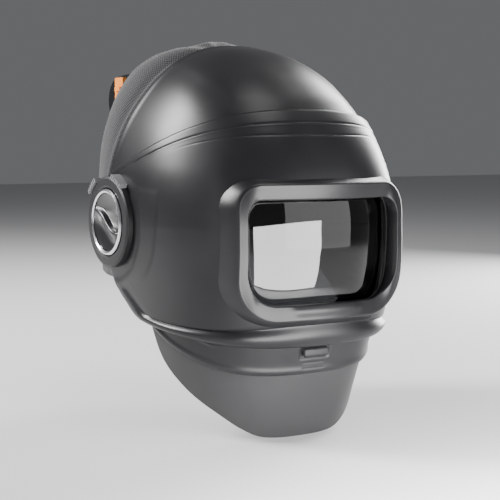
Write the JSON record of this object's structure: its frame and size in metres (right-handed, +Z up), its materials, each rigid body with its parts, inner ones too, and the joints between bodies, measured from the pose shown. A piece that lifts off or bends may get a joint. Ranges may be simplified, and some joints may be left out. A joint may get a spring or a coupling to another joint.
{
  "type": "powered air respirator headtop",
  "caption": "Tilting hard-shell respirator headtop with a flip-up shield, clear visor, cloth head cover, swivelling air inlet and adjustable head harness.",
  "frame": {"origin": "midway between the two side pivots, inside the wearer's head, about 30 mm above the ears' level", "axes": "+Z up the head, the shield faces -Y, +X is the wearer's left, and the pivots' axis is X"},
  "size_m": [0.2562, 0.3332, 0.3383],
  "materials": {
    "shell_black": "satin, fine moulded grain",
    "shield_black": "satin",
    "bib_gray": "satin",
    "dark_part": "matte",
    "gloss_black": "polished",
    "clear_lens": "clear, hard coated",
    "black_rubber": "matte",
    "gray_cloth": "woven, flame resistant",
    "soft_pad": "knitted over foam",
    "harness_black": "satin",
    "bright_ring": "satin anodised",
    "steel": "bright",
    "orange_plastic": "semi-gloss",
    "tab_gray": "ribbed"
  },
  "bodies": {
    "harness": {"headband": "harness_black", "sweatband": "soft_pad", "strap_front": "harness_black", "strap_rear": "harness_black", "strap_studs": "harness_black", "crown_pad": "soft_pad", "side_arm_right": "harness_black", "side_arm_left": "harness_black", "axle_right": "steel", "axle_left": "steel"},
    "cradle_body": {"cradle": "harness_black", "nape_pad": "soft_pad", "ratchet_case": "harness_black", "ratchet_lid": "harness_black"},
    "dial": {"ratchet_dial": "harness_black"},
    "rack_l": {"rack_left": "harness_black"},
    "rack_r": {"rack_right": "harness_black"},
    "shield": {"shield_shell": "shield_black", "shield_hub_right": "shield_black", "shield_hub_left": "shield_black", "window_bezel": "shield_black", "filter_frame": "dark_part", "filter_gasket": "black_rubber", "filter_clips": "steel"},
    "knob_r": {"knob_right": "gloss_black", "ring_right": "bright_ring"},
    "knob_l": {"knob_left": "gloss_black", "ring_left": "bright_ring"},
    "slider": {"flow_slider": "orange_plastic"},
    "flap": {"damper_flap": "dark_part"},
    "swivel": {"inlet_swivel": "dark_part", "inlet_ring": "black_rubber"},
    "button": {"chin_button": "dark_part"},
    "helmet": {"crown_shell": "shell_black", "chin_guard": "shell_black", "throat_bib": "bib_gray", "clear_visor": "clear_lens", "visor_seal": "black_rubber", "visor_frame": "dark_part", "face_seal": "gray_cloth", "head_cover": "gray_cloth", "cover_binding": "black_rubber", "brow_duct": "dark_part", "brow_deflector": "dark_part", "rear_duct": "gloss_black", "duct_gasket": "black_rubber", "inlet_collar": "dark_part", "collar_screws": "steel", "hub_right": "dark_part", "hub_left": "dark_part", "housing_right": "dark_part", "housing_left": "dark_part", "hub_screws": "steel", "grip_tabs": "tab_gray", "bumper_pads": "black_rubber", "button_spring": "steel", "button_bracket": "dark_part"}
  },
  "joints": [
    {"name": "helmet_tilt", "type": "hinge", "parent": "harness", "child": "helmet", "pos_m": [0, 0, 0], "axis": [-1, 0, 0], "range_deg": [0, 38]},
    {"name": "shield_flip", "type": "hinge", "parent": "helmet", "child": "shield", "pos_m": [0, 0, 0], "axis": [-1, 0, 0], "range_deg": [0, 65]},
    {"name": "knob_right_turn", "type": "hinge", "parent": "helmet", "child": "knob_r", "pos_m": [-0.122, 0, 0], "axis": [-1, 0, 0], "range_deg": [-120, 120]},
    {"name": "knob_left_turn", "type": "hinge", "parent": "helmet", "child": "knob_l", "pos_m": [0.122, 0, 0], "axis": [1, 0, 0], "range_deg": [-120, 120]},
    {"name": "size_slide", "type": "slide", "parent": "harness", "child": "cradle_body", "axis": [0, 1, 0], "range_m": [-0.008, 0.008]},
    {"name": "size_dial", "type": "hinge", "parent": "cradle_body", "child": "dial", "pos_m": [0, 0.09, 0.046], "axis": [0, 1, 0], "range_deg": [-91.67, 91.67]},
    {"name": "rack_left_slide", "type": "slide", "parent": "cradle_body", "child": "rack_l", "axis": [1, 0, 0], "range_m": [-0.008, 0.008]},
    {"name": "rack_right_slide", "type": "slide", "parent": "cradle_body", "child": "rack_r", "axis": [1, 0, 0], "range_m": [-0.008, 0.008]},
    {"name": "flow_slide", "type": "slide", "parent": "helmet", "child": "slider", "axis": [0, 0, 1], "range_m": [-0.005, 0.005]},
    {"name": "damper_turn", "type": "hinge", "parent": "helmet", "child": "flap", "pos_m": [0, 0.112, 0.108], "axis": [1, 0, 0], "range_deg": [-17.19, 17.19]},
    {"name": "inlet_turn", "type": "hinge", "parent": "helmet", "child": "swivel", "pos_m": [0, 0.108, 0.098], "axis": [0, 0.9397, -0.342], "continuous": true},
    {"name": "chin_press", "type": "slide", "parent": "helmet", "child": "button", "axis": [0, 1, 0], "range_m": [0, 0.0015], "stiffness_N_per_m": 400, "springref_m": -0.001, "deforming": ["button_spring"]}
  ],
  "couplings": [
    {"joint": "size_dial", "follows": "size_slide", "rad_per_m": 200},
    {"joint": "rack_left_slide", "follows": "size_slide", "ratio": 1},
    {"joint": "rack_right_slide", "follows": "size_slide", "ratio": -1},
    {"joint": "damper_turn", "follows": "flow_slide", "rad_per_m": 60}
  ]
}
